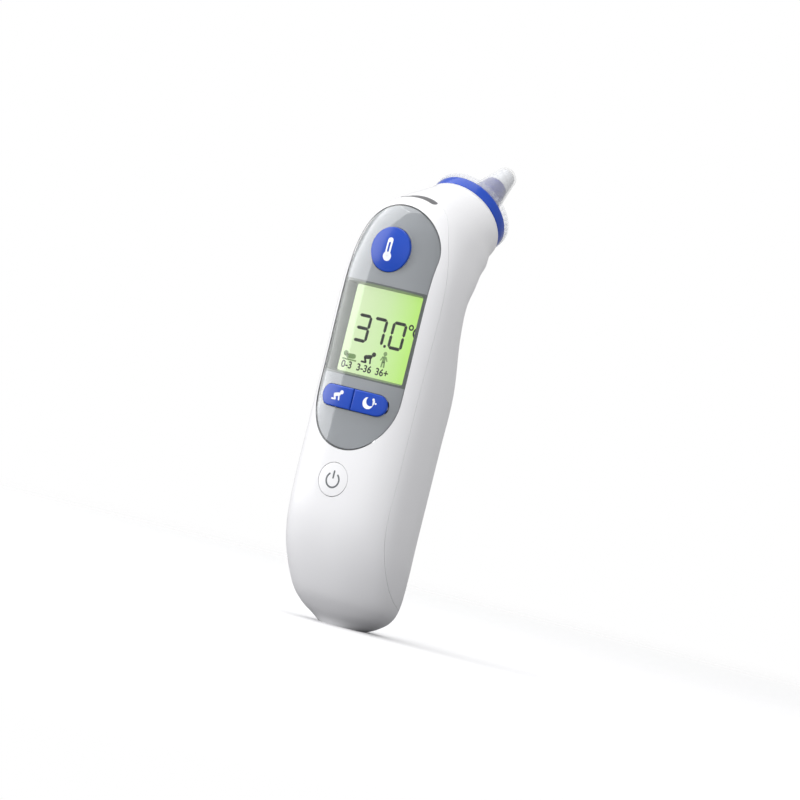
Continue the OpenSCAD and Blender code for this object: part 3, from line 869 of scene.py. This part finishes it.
def flatMark(name, outlines, y, thick):
    # flat shapes (x, z) at depth y, given a little thickness
    bm = bmesh.new()
    for outline in outlines:
        face = outlineFace(bm, [toFrame(Vector((px, y, pz))) for px, pz in outline])
        pushFaces(bm, face, (0, -thick * mm, 0))
    bmesh.ops.recalc_face_normals(bm, faces=bm.faces[:])
    return linkMesh(name, bm)


def disc(x, z, r, count=20):
    return arc(x, z, r, r, 0, 360 * (count - 1) / count, count - 1)


def limb(x0, z0, x1, z1, r, count=6):
    # stroke with round ends
    turn = math.degrees(math.atan2(z1 - z0, x1 - x0))
    return arc(x0, z0, r, r, turn + 90, turn + 270, count) + arc(x1, z1, r, r, turn - 90, turn + 90, count)


digitShape = {"height": 7.9, "width": 4.4, "bar": 1.0, "gap": 0.04, "slant": 0.02, "baseZ": 88.1,
              "places": (-9.2, -3.2, 4.0), "pointX": 2.6}
digitBars = {"3": "abcdg", "7": "abc", "0": "abcdef"}


def digitOutlines(symbol, x, z):
    # seven-segment digit with its lower left corner at x, z
    d = digitShape
    w, h, t, g = d["width"], d["height"], d["bar"] / 2, d["gap"]
    ends = {"a": (0, h, w, h), "b": (w, h, w, h / 2), "c": (w, h / 2, w, 0), "d": (0, 0, w, 0),
            "e": (0, h / 2, 0, 0), "f": (0, h, 0, h / 2), "g": (0, h / 2, w, h / 2)}
    outlines = []
    for bar in digitBars[symbol]:
        x0, z0, x1, z1 = ends[bar]
        length = math.hypot(x1 - x0, z1 - z0)
        ux, uz = (x1 - x0) / length, (z1 - z0) / length
        shape = [(g, 0), (g + t, t), (length - g - t, t), (length - g, 0), (length - g - t, -t), (g + t, -t)]
        outlines.append([(x + x0 + a * ux - b * uz, z + z0 + a * uz + b * ux) for a, b in shape])
    return [[(px + d["slant"] * (pz - z), pz) for px, pz in outline] for outline in outlines]


def crawler(x, z, s):
    # small crawling figure of plain strokes
    return [disc(x + 2.0 * s, z + 1.9 * s, 0.75 * s),
            limb(x - 0.8 * s, z + 0.6 * s, x + 1.1 * s, z + 1.0 * s, 0.62 * s),
            limb(x - 1.0 * s, z + 0.4 * s, x - 0.4 * s, z - 0.9 * s, 0.38 * s),
            limb(x - 0.5 * s, z - 1.0 * s, x - 1.9 * s, z - 1.0 * s, 0.3 * s),
            limb(x + 1.0 * s, z + 0.7 * s, x + 1.3 * s, z - 1.0 * s, 0.3 * s)]


def cradled(x, z, s):
    return [disc(x - 1.3 * s, z + 0.5 * s, 0.7 * s), limb(x - 0.5 * s, z, x + 1.2 * s, z + 0.1 * s, 0.62 * s),
            limb(x - 1.9 * s, z - 0.9 * s, x + 2.0 * s, z - 0.9 * s, 0.2 * s)]


def stander(x, z, s):
    return [disc(x, z + 2.5 * s, 0.65 * s), limb(x, z + 1.3 * s, x, z + 0.3 * s, 0.55 * s),
            limb(x - 0.35 * s, z, x - 0.45 * s, z - 1.4 * s, 0.27 * s),
            limb(x + 0.35 * s, z, x + 0.45 * s, z - 1.4 * s, 0.27 * s),
            limb(x - 0.6 * s, z + 1.5 * s, x - 1.1 * s, z + 0.5 * s, 0.2 * s),
            limb(x + 0.6 * s, z + 1.5 * s, x + 1.1 * s, z + 0.5 * s, 0.2 * s)]


def ringOutlines(x, z, r, thick, start, end, count):
    # arc-shaped band drawn as one outline
    outer = arc(x, z, r, r, start, end, count)
    inner = arc(x, z, r - thick, r - thick, start, end, count)
    return [outer + inner[::-1]]


def textMark(name, words, x, y, z, size, material, body):
    curve = bpy.data.curves.new(name, "FONT")
    curve.body = words
    curve.size = size * mm
    curve.align_x = "CENTER"
    curve.extrude = 0.01 * mm
    curve.offset = 0.07 * mm
    temporary = bpy.data.objects.new(name + "Curve", curve)
    bpy.context.scene.collection.objects.link(temporary)
    graph = bpy.context.evaluated_depsgraph_get()
    mesh = bpy.data.meshes.new_from_object(temporary.evaluated_get(graph))
    discard(temporary)
    mesh.transform(Matrix.Translation(toFrame(Vector((x, y, z)))) @ Matrix.Rotation(math.pi / 2, 4, "X"))
    piece = bpy.data.objects.new(name, mesh)
    bpy.context.scene.collection.objects.link(piece)
    return finishPiece(piece, body, material)


def makeDisplayMarks():
    d = digitShape
    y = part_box("lcd_panel")[0].y / mm + bodyShape["footBack"] - 0.01
    z = d["baseZ"]
    outlines = [bar for symbol, x in zip("370", d["places"]) for bar in digitOutlines(symbol, x, z)]
    outlines.append(disc(d["pointX"], z, 0.5, 12))
    outlines += ringOutlines(10.5, z + 7.5, 0.95, 0.5, 0, 180, 12)
    outlines += ringOutlines(10.5, z + 7.5, 0.95, 0.5, 180, 360, 12)
    outlines += ringOutlines(13.2, z + 6.1, 1.8, 0.6, 55, 305, 16)
    black = flatMark("displayDigits", outlines, y, 0.015)
    finishPiece(black, "housing", finish["segmentBlack"])
    strong = flatMark("displayRangeMark", crawler(-2.4, 82.9, 1.0), y, 0.015)
    finishPiece(strong, "housing", finish["segmentBlack"])
    faint = flatMark("displayRangeFaint", cradled(-9.0, 82.7, 1.25) + stander(3.6, 83.2, 1.05), y, 0.015)
    finishPiece(faint, "housing", finish["segmentFaint"])
    for words, x in (("0-3", -9.4), ("3-36", -2.8), ("36+", 3.9)):
        textMark("range" + words.replace("+", "up"), words, x, y - 0.01, 78.9, 3.1, finish["segmentBlack"],
                 "housing")
    print("display ready")


def wrapOnto(mark, target, lift):
    # lays a flat mark on a button's front and gives it a film's thickness
    bm = bmesh.new()
    bm.from_mesh(mark.data)
    for axis in range(2):
        no = (1, 0, 0) if axis == 0 else (0, 0, 1)
        values = [v.co.x if axis == 0 else v.co.z for v in bm.verts]
        position = min(values) + 0.25 * mm
        while position < max(values):
            co = (position, 0, 0) if axis == 0 else (0, 0, position)
            bmesh.ops.bisect_plane(bm, geom=bm.verts[:] + bm.edges[:] + bm.faces[:], dist=1e-8,
                                   plane_co=co, plane_no=no)
            position += 0.35 * mm
    bm.to_mesh(mark.data)
    bm.free()
    wrap = mark.modifiers.new("wrap", "SHRINKWRAP")
    wrap.wrap_method = "PROJECT"
    wrap.use_project_x, wrap.use_project_y, wrap.use_project_z = False, True, False
    wrap.use_positive_direction, wrap.use_negative_direction = True, False
    wrap.target = target
    applyModifiers(mark)
    film = mark.modifiers.new("film", "SOLIDIFY")
    film.thickness = lift * mm
    film.offset = 0
    return applyModifiers(mark)


def flatFaces(name, outlines, y):
    bm = bmesh.new()
    for outline in outlines:
        face = outlineFace(bm, [toFrame(Vector((px, y, pz))) for px, pz in outline])
        bmesh.ops.triangulate(bm, faces=face)
    bmesh.ops.recalc_face_normals(bm, faces=bm.faces[:])
    return linkMesh(name, bm)


def makeIcons():
    z = nodeCentre("start_button").z / mm
    stem = [limb(0, z - 1.6, 0, z + 2.7, 0.95, 10), disc(0, z - 2.3, 1.5, 28)]
    target = bpy.data.objects["startButton"]
    mark = wrapOnto(flatFaces("startSign", stem, -6), target, 0.05)
    finishPiece(mark, "start_key", finish["markWhite"])
    mercury = [limb(0, z - 0.6, 0, z + 1.9, 0.34, 8)]
    mark = wrapOnto(flatFaces("startSignStem", mercury, -6), target, 0.08)
    finishPiece(mark, "start_key", finish["buttonBlue"])

    z = nodeCentre("age_button").z / mm
    mark = wrapOnto(flatFaces("ageSign", crawler(-5.9, z - 0.2, 0.85), -6), bpy.data.objects["ageButton"],
                    0.05)
    finishPiece(mark, "age_key", finish["markWhite"])
    moon = [arc(6.0, z + 0.1, 1.9, 1.9, 120, 400, 20) + arc(6.75, z + 0.75, 1.5, 1.5, 385, 135, 16)]
    moon += [disc(7.6, z + 1.5, 0.42, 12), disc(8.6, z + 0.4, 0.3, 12)]
    mark = wrapOnto(flatFaces("nightSign", moon, -6), bpy.data.objects["nightButton"], 0.05)
    finishPiece(mark, "night_key", finish["markWhite"])

    z = nodeCentre("power_button").z / mm
    sign = ringOutlines(0, z - 0.2, 2.6, 0.55, 125, 415, 28) + [limb(0, z + 0.5, 0, z + 2.6, 0.28, 6)]
    mark = wrapOnto(flatFaces("powerSign", sign, -6), bpy.data.objects["powerButton"], 0.05)
    finishPiece(mark, "power_key", finish["seamShadeAndPrintGrey"])
    print("signs ready")


makeDisplayMarks()
makeIcons()


nodeFinish = {
    "lcd_panel": "displayGlow", "lcd_backlight": "guideMilk", "key_switches": "darkMatt",
    "main_board": "boardGreen", "board_chips": "darkMatt", "buzzer": "darkMatt",
    "ejector_spring": "steelBright", "probe_base": "probeWhite", "sensor_tube": "goldTube",
    "sensor_can": "steelBright", "sensor_flex": "flexAmber", "battery_tray": "trayBlack",
    "battery_left": "steelBright", "battery_right": "steelBright", "battery_springs": "steelBright",
    "battery_plates": "steelBright", "housing_screws": "steelBright",
}
for node, finishName in nodeFinish.items():
    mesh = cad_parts[node].data
    mesh.materials.clear()
    mesh.materials.append(finish[finishName])


studio = {"floorSize": 1.6, "sky": 0.54, "floorGlow": 0.05}


def makeFloor():
    bm = bmesh.new()
    bmesh.ops.create_circle(bm, segments=96, radius=studio["floorSize"] / 2, cap_ends=True)
    floor = linkMesh("studioFloor", bm)
    material, nodes, links, shader = startMaterial("floorPale")
    coords = nodes.new("ShaderNodeTexCoord")
    length = nodes.new("ShaderNodeVectorMath")
    length.operation = "LENGTH"
    links.new(coords.outputs["Object"], length.inputs[0])
    fade = nodes.new("ShaderNodeMapRange")
    fade.interpolation_type = "SMOOTHSTEP"
    fade.inputs["From Min"].default_value = studio["floorSize"] * 0.12
    fade.inputs["From Max"].default_value = studio["floorSize"] * 0.46
    fade.inputs["To Min"].default_value = 1
    fade.inputs["To Max"].default_value = 0
    links.new(length.outputs["Value"], fade.inputs["Value"])
    links.new(fade.outputs["Result"], shader.inputs["Alpha"])
    # pale to the eye, with less light thrown back up at the foot
    path = nodes.new("ShaderNodeLightPath")
    tone = nodes.new("ShaderNodeMix")
    tone.data_type = "RGBA"
    tone.inputs["A"].default_value = (0.25, 0.25, 0.26, 1)
    tone.inputs["B"].default_value = (0.93, 0.93, 0.94, 1)
    links.new(path.outputs["Is Camera Ray"], tone.inputs["Factor"])
    links.new(tone.outputs["Result"], shader.inputs["Base Color"])
    shader.inputs["Roughness"].default_value = 0.6
    shader.inputs["Emission Color"].default_value = (1, 1, 1, 1)
    glow = nodes.new("ShaderNodeMath")
    glow.operation = "MULTIPLY"
    glow.inputs[1].default_value = studio["floorGlow"]
    links.new(path.outputs["Is Camera Ray"], glow.inputs[0])
    links.new(glow.outputs[0], shader.inputs["Emission Strength"])
    floor.data.materials.append(material)


# the ones that are not mirrored stay out of the gloss and the clear lens
studioLights = {
    "keyLight": {"azimuth": -66, "elevation": 18, "distance": 1.1, "width": 1.0, "height": 1.3, "power": 9,
                 "target": (0, 0, 0.08), "mirrored": True},
    "topLight": {"azimuth": -68, "elevation": 74, "distance": 1.0, "width": 1.0, "height": 1.0, "power": 4.5,
                 "target": (0, 0, 0.08), "mirrored": True},
    "frontLight": {"azimuth": 0, "elevation": 12, "distance": 1.3, "width": 0.8, "height": 0.8, "power": 8.2,
                   "target": (0, 0, 0.08), "mirrored": False},
    "headLight": {"azimuth": 68, "elevation": 38, "distance": 0.5, "width": 0.3, "height": 0.3, "power": 0.7,
                  "target": (0, 0.01, 0.15), "mirrored": False},
}


def areaLight(name, place):
    data = bpy.data.lights.new(name, "AREA")
    data.shape = "RECTANGLE"
    data.size = place["width"]
    data.size_y = place["height"]
    data.energy = place["power"]
    lamp = bpy.data.objects.new(name, data)
    a, e = math.radians(place["azimuth"]), math.radians(place["elevation"])
    offset = Vector((math.sin(a) * math.cos(e), -math.cos(a) * math.cos(e), math.sin(e))) * place["distance"]
    lamp.location = Vector(place["target"]) + offset
    lamp.rotation_euler = (-offset).to_track_quat("-Z", "Y").to_euler()
    lamp.visible_glossy = place["mirrored"]
    lamp.visible_transmission = place["mirrored"]
    bpy.context.scene.collection.objects.link(lamp)


def makeWorld():
    world = bpy.data.worlds.new("studioWorld")
    bpy.context.scene.world = world
    world.use_nodes = True
    nodes, links = world.node_tree.nodes, world.node_tree.links
    back = nodes["Background"]
    back.inputs["Color"].default_value = (1, 1, 1, 1)
    back.inputs["Strength"].default_value = studio["sky"]
    seen = nodes.new("ShaderNodeBackground")
    seen.inputs["Color"].default_value = (1, 1, 1, 1)
    seen.inputs["Strength"].default_value = 1.0
    path = nodes.new("ShaderNodeLightPath")
    mix = nodes.new("ShaderNodeMixShader")
    links.new(path.outputs["Is Camera Ray"], mix.inputs[0])
    links.new(back.outputs[0], mix.inputs[1])
    links.new(seen.outputs[0], mix.inputs[2])
    links.new(mix.outputs[0], nodes["World Output"].inputs["Surface"])


cameraPlace = {"azimuth": 32.7, "elevation": -0.2, "roll": 14.0, "distance": 1631, "targetY": 0.63,
               "targetZ": 73.2, "lens": 234.2}


def makeCamera():
    c = cameraPlace
    a, e, r = (math.radians(c[k]) for k in ("azimuth", "elevation", "roll"))
    back = Vector((math.sin(a) * math.cos(e), -math.cos(a) * math.cos(e), math.sin(e)))
    right = Vector((math.cos(a), math.sin(a), 0))
    up = back.cross(right)
    axisX = right * math.cos(r) + up * math.sin(r)
    axisY = up * math.cos(r) - right * math.sin(r)
    data = bpy.data.cameras.new("studioCamera")
    data.lens, data.sensor_width = c["lens"], 36
    data.clip_start, data.clip_end = 0.05, 20
    camera = bpy.data.objects.new("studioCamera", data)
    place = Matrix((axisX, axisY, back)).transposed().to_4x4()
    place.translation = Vector((0, c["targetY"] * mm, c["targetZ"] * mm)) + back * c["distance"] * mm
    camera.matrix_world = place
    bpy.context.scene.collection.objects.link(camera)
    bpy.context.scene.camera = camera


bpy.context.scene.view_settings.view_transform = "Standard"
makeFloor()
makeWorld()
for lightName, lightPlace in studioLights.items():
    areaLight(lightName, lightPlace)
makeCamera()
print("studio ready")
